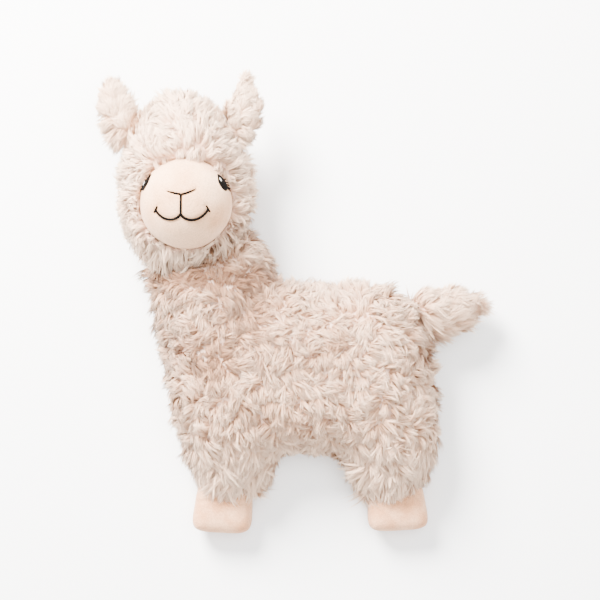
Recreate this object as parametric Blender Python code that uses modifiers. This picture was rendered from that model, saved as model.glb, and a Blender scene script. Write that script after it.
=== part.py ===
"""A stuffed toy llama of long shaggy plush, lying on its back panel with its face up.

The toy is modelled as it lies: X runs from the chest to the tail, Y from the soles to the ears and
Z up from the floor. The origin is the middle of the toy's outline, on the floor. Sizes are in
metres. Heights are measured up the toy from its hind sole, and places along X from the front leg.
"""

import math

import bmesh
import bpy
import numpy as np
from mathutils import Matrix, Vector
from mathutils.bvhtree import BVHTree
from mathutils.kdtree import KDTree

SEAT_GAP = 0.0003
WELD = 0.000001
FACET_SAG = 0.0002
PRESSED_FLAT = 0.006

LEG_SPACING = 0.151
CHEST_AHEAD = 0.003
RUMP_INSET = 0.022
BARREL_LENGTH = LEG_SPACING - RUMP_INSET
SHOULDER_HEIGHT = 0.164
BELLY_HEIGHT = 0.121
BARREL_HALF_WIDTH = 0.0500
BARREL_HALF_DEPTH = 0.040

NECK_HEIGHT = 0.233
NECK_LEAN = 0.0175
NECK_HALF_WIDTH = 0.0490
NECK_HALF_DEPTH = 0.041

THIGH_HEIGHT = 0.094
THIGH_HALF_WIDTH = 0.0450
THIGH_HALF_DEPTH = 0.036
ANKLE_HEIGHT = 0.047
ANKLE_HALF_WIDTH = 0.0290
ANKLE_HALF_DEPTH = 0.0245
FRONT_THIGH_OFFSET = 0.0055
HIND_THIGH_OFFSET = 0.011
FRONT_ANKLE_OFFSET = 0.0020
HIND_ANKLE_OFFSET = 0.0060

FRONT_HOOF_AHEAD = 0.0030
FRONT_HOOF_DROP = 0.0020
HOOF_WIDTH = 0.0510
HOOF_HEIGHT = 0.046
HOOF_DEPTH = 0.030
HOOF_LIFT = 0.003
HOOF_FLARE = 0.06
HOOF_CORNER = 0.22
HOOF_GRID = 10
FRONT_TOE_TILT = math.radians(-3)
HIND_TOE_TILT = math.radians(3)

HEAD_HEIGHT = 0.3025
HEAD_OFFSET = -0.0345
HEAD_HALF_WIDTH = 0.0525
HEAD_HALF_HEIGHT = 0.0735
HEAD_HALF_DEPTH = 0.056
CROWN_HALF_WIDTH = 0.0460
CROWN_OFFSET = -0.0030

FACE_DROP = 0.0192
FACE_HALF_WIDTH = 0.0387
FACE_HALF_HEIGHT = 0.0376
FACE_HALF_DEPTH = 0.0420
FACE_FORWARD = 0.035
FACE_OFFSET = 0.0030
FACE_SEGMENTS = 26
FACE_RINGS = 14

EAR_HALF_DEPTH = 0.0100
EAR_DEPTH_SHARES = (0.9, 1.0, 0.5)
EAR_ABOVE_AXIS = 0.006
LEFT_EAR_ROOT = (-0.040, 0.036)
LEFT_EAR_MIDDLE = (-0.0575, 0.0600)
LEFT_EAR_TIP = (-0.0665, 0.0880)
RIGHT_EAR_ROOT = (0.041, 0.039)
RIGHT_EAR_MIDDLE = (0.0500, 0.0630)
RIGHT_EAR_TIP = (0.0555, 0.0945)
EAR_ROOT_HALF_WIDTH = 0.0140
EAR_MIDDLE_HALF_WIDTH = 0.0172
EAR_TIP_HALF_WIDTH = 0.0045

TAIL_LENGTH = 0.058
TAIL_HEIGHT = 0.1945
TAIL_ROOT_HALF_WIDTH = 0.0205
TAIL_MIDDLE_HALF_WIDTH = 0.0165
TAIL_TIP_HALF_WIDTH = 0.0045
TAIL_HALF_DEPTH = 0.017
TAIL_DEPTH_SHARES = (1.0, 0.85, 0.4)
TAIL_MIDDLE_SHARE = 0.6
TAIL_AXIS_HEIGHT = 0.029
TAIL_LIFT = 0.008

LOCK_LENGTH = 0.0085
LOCK_SPACING = 0.0150
EAR_LOCK_LENGTH = 0.0045
LOCK_LEAN = 0.45
LOCK_REACH = 0.80
SEAM_MARGIN = 0.004
SEAM_FADE = 0.012
SWIRL_LENGTH = 0.030
SWIRL_TURN = 1.3
SWIRL_WANDER = 1.7
SINK = 0.3
GOLDEN_STEP = 0.6180339887

NET_SIZE = 0.0080
SMALL_NET_SIZE = 0.0060
BLEND_PASSES = 5

THREAD_RADIUS = 0.0006
THREAD_STEPS = 8
NOSE_FORK = (-0.0021, 0.0054)
NOSE_LEFT_END = (-0.0134, 0.0082)
NOSE_RIGHT_END = (0.0110, 0.0100)
NOSE_SAG = 0.0008
LIP_MIDDLE = (-0.0023, -0.0102)
LIP_SAG = 0.0062
MOUTH_LEFT_END = (-0.0233, -0.0067)
MOUTH_RIGHT_END = (0.0195, -0.0060)
DIMPLE_LENGTH = 0.0060
DIMPLE_TURN = math.radians(60)

EYE_LENGTH = 0.0150
EYE_WIDTH = 0.0100
EYE_THICKNESS = 0.0009
EYE_GRID = 6
GLINT_GRID = 3
GLINT_SHARE = 0.26
GLINT_SHIFT = 0.0004
EYE_LEAN = math.radians(14)
LEFT_EYE_TURN = math.radians(-60)
RIGHT_EYE_TURN = math.radians(59)
EYE_RISE = math.radians(25)

CREAM = (0.80, 0.68, 0.58)
PEACH = (0.90, 0.74, 0.62)
BLACK = (0.020, 0.016, 0.015)
WHITE = (0.85, 0.84, 0.82)


def material(name, colour, roughness):
    made = bpy.data.materials.new(name)
    made.use_nodes = True
    shader = made.node_tree.nodes["Principled BSDF"]
    shader.inputs["Base Color"].default_value = (*colour, 1.0)
    shader.inputs["Roughness"].default_value = roughness
    shader.inputs["Metallic"].default_value = 0.0
    return made


def collection(name):
    made = bpy.data.collections.new(name)
    bpy.context.scene.collection.children.link(made)
    return made


def new_object(name, mesh, group):
    made = bpy.data.objects.new(name, mesh)
    group.objects.link(made)
    return made


def evaluated_mesh(made):
    """The object's mesh with its modifiers applied."""
    return bpy.data.meshes.new_from_object(
        made.evaluated_get(bpy.context.evaluated_depsgraph_get())
    )


def tidied(mesh, name):
    """The mesh as triangles that all face outwards, so that a seat cut from it fits it exactly."""
    whole = bmesh.new()
    whole.from_mesh(mesh)
    bmesh.ops.recalc_face_normals(whole, faces=whole.faces)
    bmesh.ops.triangulate(whole, faces=whole.faces)
    whole.to_mesh(mesh)
    whole.free()
    mesh.name = name
    return mesh


def points_of(mesh):
    found = np.empty(len(mesh.vertices) * 3, np.float32)
    mesh.vertices.foreach_get("co", found)
    return found.reshape(-1, 3).astype(float)


def normals_of(mesh):
    found = np.empty(len(mesh.vertices) * 3, np.float32)
    mesh.vertices.foreach_get("normal", found)
    return found.reshape(-1, 3).astype(float)


def set_points(mesh, points):
    mesh.vertices.foreach_set("co", points.astype(np.float32).ravel())
    mesh.update()


class Blob:
    """A flattened ball: its middle, its half width across the toy and its half depth off the floor."""

    def __init__(self, x, y, half_width, half_depth, z=None):
        self.middle = Vector((x, y, half_depth - PRESSED_FLAT if z is None else z))
        self.half_width = half_width
        self.half_depth = half_depth


def add_limb(target, blobs):
    """Adds the skin stretched over a few flattened balls, which is a tapered stuffed limb."""
    limb = bmesh.new()
    for blob in blobs:
        size = Matrix.Diagonal((blob.half_width, blob.half_width, blob.half_depth, 1))
        bmesh.ops.create_uvsphere(
            limb,
            u_segments=20,
            v_segments=12,
            radius=1.0,
            matrix=Matrix.Translation(blob.middle) @ size,
        )
    bmesh.ops.delete(limb, geom=limb.edges[:], context="EDGES_FACES")
    hull = bmesh.ops.convex_hull(limb, input=limb.verts)
    inner = list(set(hull["geom_interior"]) | set(hull["geom_unused"]))
    bmesh.ops.delete(limb, geom=inner, context="VERTS")
    bmesh.ops.recalc_face_normals(limb, faces=limb.faces)
    part = bpy.data.meshes.new("limb")
    limb.to_mesh(part)
    limb.free()
    target.from_mesh(part)
    bpy.data.meshes.remove(part)


def stuffed_form(name, limbs, net_size):
    """One smooth closed mesh round all the limbs, as an even net of small squares."""
    joined = bmesh.new()
    for blobs in limbs:
        add_limb(joined, blobs)
    mesh = bpy.data.meshes.new(name)
    joined.to_mesh(mesh)
    joined.free()
    form = new_object(name, mesh, cutters)
    remesh = form.modifiers.new("even_net", "REMESH")
    remesh.mode = "VOXEL"
    remesh.voxel_size = net_size
    smooth = form.modifiers.new("blend", "SMOOTH")
    smooth.factor = 0.5
    smooth.iterations = BLEND_PASSES
    made = evaluated_mesh(form)
    bpy.data.objects.remove(form)
    return tidied(made, name)


def comb_direction(points, normals):
    """Which way the pile lies at each point: down the toy, in swirls a few centimetres across."""
    wander = SWIRL_WANDER * np.sin(points[:, 1] / SWIRL_LENGTH)
    turn = SWIRL_TURN * np.sin(points[:, 0] / SWIRL_LENGTH + wander)
    flow = np.stack([np.sin(turn), -np.cos(turn), np.full(len(turn), -SINK)], axis=1)
    flow -= (flow * normals).sum(1)[:, None] * normals
    return flow / np.maximum(np.linalg.norm(flow, axis=1), 1e-6)[:, None]


def lock_roots(points, spacing):
    """Points picked so that no two lie nearer than the spacing, in a scattered order."""
    order = np.argsort((np.arange(len(points)) * GOLDEN_STEP) % 1.0)
    free = np.ones(len(points), bool)
    picked = []
    for i in order:
        if free[i]:
            picked.append(i)
            free &= np.linalg.norm(points - points[i], axis=1) > spacing
    return np.array(picked)


def distance_outside(points, form):
    """How far each point lies outside a closed form; less than nothing where it lies inside."""
    corners = [tuple(v.co) for v in form.vertices]
    tree = BVHTree.FromPolygons(corners, [tuple(p.vertices) for p in form.polygons])
    found = np.empty(len(points))
    for n, point in enumerate(points):
        nearest, normal, _, away = tree.find_nearest(Vector(point))
        found[n] = away if (Vector(point) - nearest).dot(normal) > 0 else -away
    return found


def raise_locks(mesh, length, seams):
    """Draws the net out into pointed locks of pile that lean the way it is combed.

    The locks shorten to nothing towards the forms that the piece is sewn to.
    """
    points, normals = points_of(mesh), normals_of(mesh)
    comb = comb_direction(points, normals)
    roots = lock_roots(points, LOCK_SPACING)
    tree = KDTree(len(roots))
    for n, i in enumerate(roots):
        tree.insert(points[i], n)
    tree.balance()
    away = np.array([tree.find(p)[2] for p in points])
    height = length * np.clip(1.0 - away / (LOCK_REACH * LOCK_SPACING), 0.0, 1.0)
    for form in seams:
        clear = distance_outside(points, form)
        height *= np.clip((clear - SEAM_MARGIN) / SEAM_FADE, 0.0, 1.0)
    raised = mesh.copy()
    moved = points + height[:, None] * (normals + LOCK_LEAN * comb)
    moved[:, 2] = np.maximum(moved[:, 2], 0.0)
    set_points(raised, moved)
    return raised


def swollen(mesh, by):
    """A copy of the mesh, grown by that much along its normals."""
    grown = mesh.copy()
    set_points(grown, points_of(mesh) + normals_of(mesh) * by)
    return grown


def without_shavings(mesh):
    """Keeps the largest connected piece of the mesh, and drops the scraps that a cut leaves."""
    whole = bmesh.new()
    whole.from_mesh(mesh)
    bmesh.ops.remove_doubles(whole, verts=whole.verts, dist=WELD)
    left = set(whole.verts)
    pieces = []
    while left:
        piece, edge = set(), {left.pop()}
        while edge:
            piece |= edge
            edge = {e.other_vert(v) for v in edge for e in v.link_edges} - piece
        left -= piece
        pieces.append(piece)
    pieces.sort(key=len)
    scraps = [v for piece in pieces[:-1] for v in piece]
    bmesh.ops.delete(whole, geom=scraps, context="VERTS")
    whole.to_mesh(mesh)
    whole.free()
    return mesh


def combined(mesh, others, operation):
    """The mesh after a Boolean with each of the others in turn."""
    piece = new_object(mesh.name, mesh, cutters)
    tools = []
    for n, other in enumerate(others):
        tool = new_object(f"{mesh.name}_{n}", other, cutters)
        step = piece.modifiers.new(f"step_{n}", "BOOLEAN")
        step.operation = operation
        step.solver = "EXACT"
        step.object = tool
        tools.append(tool)
    made = evaluated_mesh(piece)
    for done in [piece, *tools]:
        bpy.data.objects.remove(done)
    return made


def seated(mesh, neighbours):
    """The mesh with its neighbours' forms cut out, so that it seats on them with the seat gap."""
    grown = [swollen(neighbour, SEAT_GAP) for neighbour in neighbours]
    return without_shavings(combined(mesh, grown, "DIFFERENCE"))


def place(name, mesh, finish):
    made = new_object(name, mesh, toy)
    made.parent = frame
    mesh.materials.clear()
    mesh.materials.append(finish)
    mesh.shade_smooth()
    return made


def body_mesh():
    """Neck, barrel and both legs: one front and one back panel sewn together and stuffed."""
    hind = LEG_SPACING
    front_thigh = Blob(FRONT_THIGH_OFFSET, THIGH_HEIGHT, THIGH_HALF_WIDTH, THIGH_HALF_DEPTH)
    hind_thigh = Blob(hind - HIND_THIGH_OFFSET, THIGH_HEIGHT, THIGH_HALF_WIDTH, THIGH_HALF_DEPTH)
    front_ankle = Blob(FRONT_ANKLE_OFFSET, ANKLE_HEIGHT, ANKLE_HALF_WIDTH, ANKLE_HALF_DEPTH)
    hind_ankle = Blob(hind - HIND_ANKLE_OFFSET, ANKLE_HEIGHT, ANKLE_HALF_WIDTH, ANKLE_HALF_DEPTH)
    shoulder = Blob(-CHEST_AHEAD, SHOULDER_HEIGHT, BARREL_HALF_WIDTH, BARREL_HALF_DEPTH)
    brisket = Blob(CHEST_AHEAD, BELLY_HEIGHT, BARREL_HALF_WIDTH, BARREL_HALF_DEPTH)
    rump = Blob(
        BARREL_LENGTH - CHEST_AHEAD, SHOULDER_HEIGHT, BARREL_HALF_WIDTH, BARREL_HALF_DEPTH
    )
    flank = Blob(BARREL_LENGTH - CHEST_AHEAD, BELLY_HEIGHT, BARREL_HALF_WIDTH, BARREL_HALF_DEPTH)
    nape = Blob(-NECK_LEAN, NECK_HEIGHT, NECK_HALF_WIDTH, NECK_HALF_DEPTH)
    return stuffed_form(
        "body",
        [
            (shoulder, brisket, rump, flank),
            (nape, shoulder),
            (brisket, front_thigh),
            (front_thigh, front_ankle),
            (flank, hind_thigh),
            (hind_thigh, hind_ankle),
        ],
        NET_SIZE,
    )


def head_middle():
    return Vector((HEAD_OFFSET, HEAD_HEIGHT, HEAD_HALF_DEPTH - PRESSED_FLAT))


def head_mesh():
    """The stuffed head, a tall egg with a tuft of longer pile on its crown."""
    middle = head_middle()
    jaw_drop = HEAD_HALF_HEIGHT - HEAD_HALF_WIDTH
    skull = Blob(middle.x, middle.y - jaw_drop, HEAD_HALF_WIDTH, HEAD_HALF_DEPTH)
    brow = Blob(middle.x, middle.y, HEAD_HALF_WIDTH, HEAD_HALF_DEPTH)
    crown = Blob(
        middle.x + CROWN_OFFSET,
        middle.y + HEAD_HALF_HEIGHT - CROWN_HALF_WIDTH,
        CROWN_HALF_WIDTH,
        CROWN_HALF_WIDTH,
        middle.z,
    )
    return stuffed_form("head", [(skull, brow, crown)], NET_SIZE)


def flat_limb(name, stops, half_depth, height):
    """An ear or the tail: (x, y, half width, share of the full depth) along its length."""
    blobs = [Blob(x, y, w, half_depth * share, height) for x, y, w, share in stops]
    pairs = list(zip(blobs[:-1], blobs[1:], strict=True))
    return stuffed_form(name, pairs, SMALL_NET_SIZE)


def ear_mesh(name, root, middle, tip):
    centre = head_middle()
    widths = (EAR_ROOT_HALF_WIDTH, EAR_MIDDLE_HALF_WIDTH, EAR_TIP_HALF_WIDTH)
    stops = [
        (centre.x + x, centre.y + y, w, share)
        for (x, y), w, share in zip((root, middle, tip), widths, EAR_DEPTH_SHARES, strict=True)
    ]
    return flat_limb(name, stops, EAR_HALF_DEPTH, centre.z + EAR_ABOVE_AXIS)


def tail_mesh():
    root = BARREL_LENGTH + BARREL_HALF_WIDTH - CHEST_AHEAD - TAIL_ROOT_HALF_WIDTH / 2
    thick, middling, thin = TAIL_DEPTH_SHARES
    middle = root + TAIL_MIDDLE_SHARE * TAIL_LENGTH
    stops = (
        (root, TAIL_HEIGHT - TAIL_LIFT, TAIL_ROOT_HALF_WIDTH, thick),
        (middle, TAIL_HEIGHT, TAIL_MIDDLE_HALF_WIDTH, middling),
        (root + TAIL_LENGTH, TAIL_HEIGHT + TAIL_LIFT, TAIL_TIP_HALF_WIDTH, thin),
    )
    return flat_limb("tail", stops, TAIL_HALF_DEPTH, TAIL_AXIS_HEIGHT)


def hoof_mesh(name, x, drop, tilt):
    """A two-panel hoof: a rounded rectangle whose panels puff out from the seam round its edge."""
    half = bmesh.new()
    bmesh.ops.create_grid(half, x_segments=HOOF_GRID, y_segments=HOOF_GRID, size=1.0)
    turn = Matrix.Rotation(tilt, 4, "Z")
    for v in half.verts:
        u, w = v.co.x, v.co.y
        across = u * math.sqrt(1 - HOOF_CORNER * w * w) * (1 - HOOF_FLARE * w)
        along = w * math.sqrt(1 - HOOF_CORNER * u * u)
        puff = math.sqrt(max(0.0, (1 - u**4) * (1 - w**4)))
        v.co = Vector((across * HOOF_WIDTH / 2, along * HOOF_HEIGHT / 2, puff * HOOF_DEPTH / 2))
    mesh = bpy.data.meshes.new(name)
    half.to_mesh(mesh)
    half.free()
    panels = new_object(name, mesh, cutters)
    mirror = panels.modifiers.new("back_panel", "MIRROR")
    mirror.use_axis = (False, False, True)
    mirror.merge_threshold = WELD
    whole = evaluated_mesh(panels)
    bpy.data.objects.remove(panels)
    middle = Vector((x, HOOF_HEIGHT / 2 - drop, HOOF_LIFT + HOOF_DEPTH / 2))
    whole.transform(Matrix.Translation(middle) @ turn)
    return tidied(whole, name)


def face_middle():
    return head_middle() + Vector((FACE_OFFSET, -FACE_DROP, FACE_FORWARD))


def face_mesh():
    """The smooth short-pile muzzle, a dome sewn into the front of the head."""
    dome = bmesh.new()
    size = Matrix.Diagonal((FACE_HALF_WIDTH, FACE_HALF_HEIGHT, FACE_HALF_DEPTH, 1))
    bmesh.ops.create_uvsphere(
        dome,
        u_segments=FACE_SEGMENTS,
        v_segments=FACE_RINGS,
        radius=1.0,
        matrix=Matrix.Translation(face_middle()) @ size,
    )
    mesh = bpy.data.meshes.new("face")
    dome.to_mesh(mesh)
    dome.free()
    return tidied(mesh, "face")


def on_face(x, y, lift):
    """The point of the dome that lies under (x, y) from its middle, raised along the normal."""
    sizes = Vector((FACE_HALF_WIDTH, FACE_HALF_HEIGHT, FACE_HALF_DEPTH))
    share = 1 - (x / sizes.x) ** 2 - (y / sizes.y) ** 2
    point = Vector((x, y, sizes.z * math.sqrt(max(share, 0.0))))
    normal = Vector([point[k] / sizes[k] ** 2 for k in range(3)]).normalized()
    return face_middle() + point + normal * lift


def thread(name, route):
    """A stitched line: a round tube along points of the face, lying on it with the seat gap."""
    curve = bpy.data.curves.new(name, "CURVE")
    curve.dimensions = "3D"
    curve.bevel_depth = THREAD_RADIUS
    curve.bevel_resolution = 1
    curve.use_fill_caps = True
    line = curve.splines.new("POLY")
    line.points.add(len(route) - 1)
    for point, (x, y) in zip(line.points, route, strict=True):
        point.co = (*on_face(x, y, THREAD_RADIUS + SEAT_GAP), 1.0)
    tube = new_object(name, curve, cutters)
    mesh = evaluated_mesh(tube)
    bpy.data.objects.remove(tube)
    whole = bmesh.new()
    whole.from_mesh(mesh)
    bmesh.ops.remove_doubles(whole, verts=whole.verts, dist=WELD)
    bmesh.ops.recalc_face_normals(whole, faces=whole.faces)
    whole.to_mesh(mesh)
    whole.free()
    return mesh


def arc(start, end, sag):
    """Points from start to end along a curve that dips below the straight line by the sag."""
    steps = [n / THREAD_STEPS for n in range(THREAD_STEPS + 1)]
    return [
        (
            start[0] + (end[0] - start[0]) * t,
            start[1] + (end[1] - start[1]) * t - 4 * sag * t * (1 - t),
        )
        for t in steps
    ]


def dimple(end, turn):
    """The short stitch across the end of the smile."""
    step = (math.cos(turn) * DIMPLE_LENGTH / 2, math.sin(turn) * DIMPLE_LENGTH / 2)
    return [(end[0] + k * step[0], end[1] + k * step[1]) for k in (-1, 0, 1)]


def satin_leaf(name, turn, lean, grid, share, shift, lift):
    """A leaf of satin stitch on the side of the dome, its long axis nearly upright.

    The share is its size against the eye's, and the shift its place along the eye's length.
    """
    leaf = bmesh.new()
    bmesh.ops.create_grid(leaf, x_segments=grid, y_segments=grid, size=1.0)
    sizes = Vector((FACE_HALF_WIDTH, FACE_HALF_HEIGHT, FACE_HALF_DEPTH))
    for v in leaf.verts:
        u, w = v.co.x, v.co.y
        across = share * u * math.sqrt(1 - w * w / 2) * EYE_WIDTH / 2
        along = share * w * math.sqrt(1 - u * u / 2) * EYE_LENGTH / 2 + shift
        x = across * math.cos(lean) - along * math.sin(lean)
        y = across * math.sin(lean) + along * math.cos(lean)
        yaw = turn + x / sizes.x
        rise = EYE_RISE + y / sizes.y
        point = Vector(
            (
                sizes.x * math.sin(yaw) * math.cos(rise),
                sizes.y * math.sin(rise),
                sizes.z * math.cos(yaw) * math.cos(rise),
            )
        )
        normal = Vector([point[k] / sizes[k] ** 2 for k in range(3)]).normalized()
        v.co = face_middle() + point + normal * lift
    mesh = bpy.data.meshes.new(name)
    leaf.to_mesh(mesh)
    leaf.free()
    return mesh


def place_stitching(name, mesh, finish):
    """A patch of satin stitch: the leaf given the thickness of its thread."""
    patch = place(name, mesh, finish)
    thickness = patch.modifiers.new("stitch_thickness", "SOLIDIFY")
    thickness.thickness = EYE_THICKNESS
    thickness.offset = 1.0


def clear_scene():
    for old in list(bpy.data.objects):
        bpy.data.objects.remove(old)


def centre_outline():
    """Moves the frame so that the origin is the middle of the toy's outline, on the floor."""
    low, high = np.full(3, np.inf), np.full(3, -np.inf)
    for made in (made for made in toy.objects if made.type == "MESH"):
        points = points_of(evaluated_mesh(made))
        low, high = np.minimum(low, points.min(0)), np.maximum(high, points.max(0))
    middle = (low + high) / 2
    frame.location = (-middle[0], -middle[1], -low[2])


clear_scene()
toy = collection("plush_llama")
cutters = collection("cutters")
frame = bpy.data.objects.new("llama_frame", None)
toy.objects.link(frame)
fur = material("shaggy_plush", CREAM, 0.95)
short_pile = material("short_pile", PEACH, 0.9)
threads = material("dark_thread", BLACK, 0.6)
white_thread = material("white_thread", WHITE, 0.6)

body_form = body_mesh()
head_form = head_mesh()
face_form = face_mesh()
tail_form = tail_mesh()
hooves = {
    "hoof_front": hoof_mesh("hoof_front", -FRONT_HOOF_AHEAD, FRONT_HOOF_DROP, FRONT_TOE_TILT),
    "hoof_hind": hoof_mesh("hoof_hind", LEG_SPACING, 0.0, HIND_TOE_TILT),
}
ears = {
    "ear_left": ear_mesh("ear_left", LEFT_EAR_ROOT, LEFT_EAR_MIDDLE, LEFT_EAR_TIP),
    "ear_right": ear_mesh("ear_right", RIGHT_EAR_ROOT, RIGHT_EAR_MIDDLE, RIGHT_EAR_TIP),
}

shaggy_body = raise_locks(body_form, LOCK_LENGTH, [head_form, tail_form, *hooves.values()])
shaggy_head = raise_locks(head_form, LOCK_LENGTH, [body_form, face_form, *ears.values()])
shaggy_tail = raise_locks(tail_form, LOCK_LENGTH, [body_form])
place("body", seated(shaggy_body, [shaggy_head, *hooves.values()]), fur)
place("head", seated(shaggy_head, [face_form]), fur)
place("tail", seated(shaggy_tail, [shaggy_body]), fur)
place("face", face_form, short_pile)
for name, hoof in hooves.items():
    place(name, hoof, short_pile)
for name, ear in ears.items():
    shaggy_ear = raise_locks(ear, EAR_LOCK_LENGTH, [head_form])
    place(name, seated(shaggy_ear, [shaggy_head]), fur)

eye_lift = SEAT_GAP + FACET_SAG
glint_lift = eye_lift + EYE_THICKNESS + SEAT_GAP
for side, turn, lean in (("left", LEFT_EYE_TURN, -EYE_LEAN), ("right", RIGHT_EYE_TURN, EYE_LEAN)):
    eye = satin_leaf(f"eye_{side}", turn, lean, EYE_GRID, 1.0, 0.0, eye_lift)
    place_stitching(f"eye_{side}", eye, threads)
    glint = satin_leaf(
        f"glint_{side}", turn, lean, GLINT_GRID, GLINT_SHARE, GLINT_SHIFT, glint_lift
    )
    place_stitching(f"glint_{side}", glint, white_thread)

stitches = [
    thread("cleft", arc(NOSE_FORK, LIP_MIDDLE, 0.0)),
    thread("nose_left", arc(NOSE_FORK, NOSE_LEFT_END, NOSE_SAG)),
    thread("nose_right", arc(NOSE_FORK, NOSE_RIGHT_END, NOSE_SAG)),
    thread("lip_left", arc(LIP_MIDDLE, MOUTH_LEFT_END, LIP_SAG)),
    thread("lip_right", arc(LIP_MIDDLE, MOUTH_RIGHT_END, LIP_SAG)),
    thread("dimple_left", dimple(MOUTH_LEFT_END, DIMPLE_TURN)),
    thread("dimple_right", dimple(MOUTH_RIGHT_END, -DIMPLE_TURN)),
]
place("nose_and_mouth", combined(stitches[0], stitches[1:], "UNION"), threads)
centre_outline()
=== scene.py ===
"""Looks of a stuffed toy llama: shaggy plush over stuffed cloth, a short-pile face and hooves,
and eyes, nose and smile stitched in thread.

The toy lies on its back panel with its face up. X runs from the chest to the tail, Y from the soles
to the ears and Z up from the floor. Sizes are in metres.
"""

import math

import bmesh
import bpy
import numpy as np
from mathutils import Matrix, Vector
from mathutils.bvhtree import BVHTree


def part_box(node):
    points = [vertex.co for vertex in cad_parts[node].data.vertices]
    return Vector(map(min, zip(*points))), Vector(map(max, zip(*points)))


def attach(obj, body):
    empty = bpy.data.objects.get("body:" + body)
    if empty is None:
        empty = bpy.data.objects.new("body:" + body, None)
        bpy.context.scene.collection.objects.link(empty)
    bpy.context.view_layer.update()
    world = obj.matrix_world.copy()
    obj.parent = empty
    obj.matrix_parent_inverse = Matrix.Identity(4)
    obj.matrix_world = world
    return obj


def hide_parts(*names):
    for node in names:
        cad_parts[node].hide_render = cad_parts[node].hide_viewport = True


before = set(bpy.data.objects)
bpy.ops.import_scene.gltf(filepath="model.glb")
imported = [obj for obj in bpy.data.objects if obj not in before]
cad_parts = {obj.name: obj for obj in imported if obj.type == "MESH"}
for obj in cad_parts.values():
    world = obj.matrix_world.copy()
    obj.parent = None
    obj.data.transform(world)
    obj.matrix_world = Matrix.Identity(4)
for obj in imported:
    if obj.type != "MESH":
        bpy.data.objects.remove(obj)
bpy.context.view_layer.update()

SEED = 20
WELD = 0.00001

# The backing cloth under the pile: how it is smoothed, sunk into the solid and swelled.
CLOTH_SINK = 0.0025
CLOTH_CAP = 0.0025
CLOTH_PRESSURE = 4.0
CLOTH_FRAMES = 20
CLOTH_QUALITY = 4
CLOTH_LOWEST = 0.001
SMOOTH_PASSES = 14
SMOOTH_STRENGTH = 0.5
# Cloth that faces down more than this carries only a share of the pile.
UNDERSIDE = -0.35
UNDERSIDE_SHARE = 0.30

# The pile: strands grow in wisps, and wisps lie in locks.
STRAND_STOPS = np.array([0.0, 0.36, 0.72, 1.0])
STRAND_HALF_WIDTHS = np.array([0.00028, 0.00029, 0.00021])
STRAND_ROLL = math.radians(35)
LOCK_SIZE = 0.0080
LOCK_GATHER = 0.34
PER_WISP = 8
WISP_SIZE = 0.0016
WISP_GATHER = 0.72
WISP_STRAY = 0.34
STRAND_STRAY = 0.0007
STRAND_LOWEST = 0.0006
LOCK_CURL = 0.0038
WISP_CURL = 0.0020
# The least and the greatest share of the full measure that a lock, a wisp or a strand gets.
LOCK_REACHES = (0.65, 1.30)
WISP_REACHES = (0.70, 1.20)
LOCK_RISES = (0.60, 1.30)
WISP_RISES = (0.65, 1.30)
STRAND_SIZES = (0.78, 1.06)
STRAND_WIDTHS = (0.8, 1.2)
# How far the tints of locks, wisps and strands stray, and the darker drifts of tint between them.
LOCK_TINT = 0.35
WISP_TINT = 0.6
STRAND_TINT = 0.10
DRIFT_LENGTH = 0.017
DRIFT_TINT = 0.8
TINTS = 64
TINT_STEP = 0.25
TONE_MARGIN = 0.01
# Roots lighter where the pile faces sideways, round the toy's outline: painted light.
EDGE_PAINTED_LIGHT = 0.35
# How much darker the tips get where the pile is tousled, and at the parting under the ruff as painted
# shadow of the ruff, and the most that counts.
RUFFLED_AND_SHADED_TONE = 0.62
RUFFLED_AND_SHADED_MOST = 1.2
BATCH = 4000

# Places on the toy are measured in X and Y from ZERO, in which the face's middle is FACE_PLACE.
FACE_PLACE = (-0.0315, 0.2833)
FACE_STRETCH = (1.0, 1.0073, 1.0)
FACE_LOW, FACE_HIGH = (np.array(corner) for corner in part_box("face"))
FACE_CENTRE = (FACE_LOW + FACE_HIGH) / 2
FACE_HALF = (FACE_HIGH - FACE_LOW) / 2 * FACE_STRETCH
FACE_RADIUS = 0.040
ZERO = FACE_CENTRE - (*FACE_PLACE, FACE_CENTRE[2])

# Where the pile is parted under the ruff, its darker roots showing and its tint and tips darkened as
# painted shadow of the ruff, and how far that reaches each way.
SHADED_PARTING = (-0.0174, 0.2215)
SHADED_PARTING_SIZE = (0.055, 0.009)
SHADED_PARTING_STRENGTH = 1.5
RUFFLED_AND_SHADED_HEIGHT = 0.035
# Spots of the pile, each with its X and Y, its radius and its strength.
RUFFLED = (
    (0.026, 0.190, 0.022, 0.8),
    (-0.011, 0.155, 0.020, 0.9),
    (0.093, 0.168, 0.011, 1.0),
    (0.035, 0.112, 0.012, 0.5),
    (0.060, 0.103, 0.010, 0.5),
)
BODY_TUFTS = (
    (-0.0686, 0.2317, 0.012, 0.0070),
    (-0.0720, 0.2230, 0.010, 0.0040),
    (0.0494, 0.2291, 0.012, 0.0060),
    (0.0348, 0.2496, 0.012, -0.0040),
    (-0.0652, 0.1992, 0.012, -0.0020),
    (-0.0558, 0.1342, 0.022, -0.0025),
    (0.1511, 0.2129, 0.014, 0.0085),
    (0.1255, 0.2188, 0.012, 0.0015),
    (0.1825, 0.1440, 0.020, 0.0020),
    (0.1887, 0.0898, 0.018, -0.0030),
    (0.1802, 0.0615, 0.010, -0.0020),
    (0.1007, 0.0547, 0.015, -0.0020),
)
HEAD_TUFTS = (
    (-0.0866, 0.2582, 0.018, -0.0035),
    (-0.0943, 0.2924, 0.014, -0.0015),
    (0.0212, 0.3240, 0.010, 0.0060),
    (0.0229, 0.2693, 0.009, 0.0040),
    (-0.0515, 0.3813, 0.030, 0.0036),
)
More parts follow.
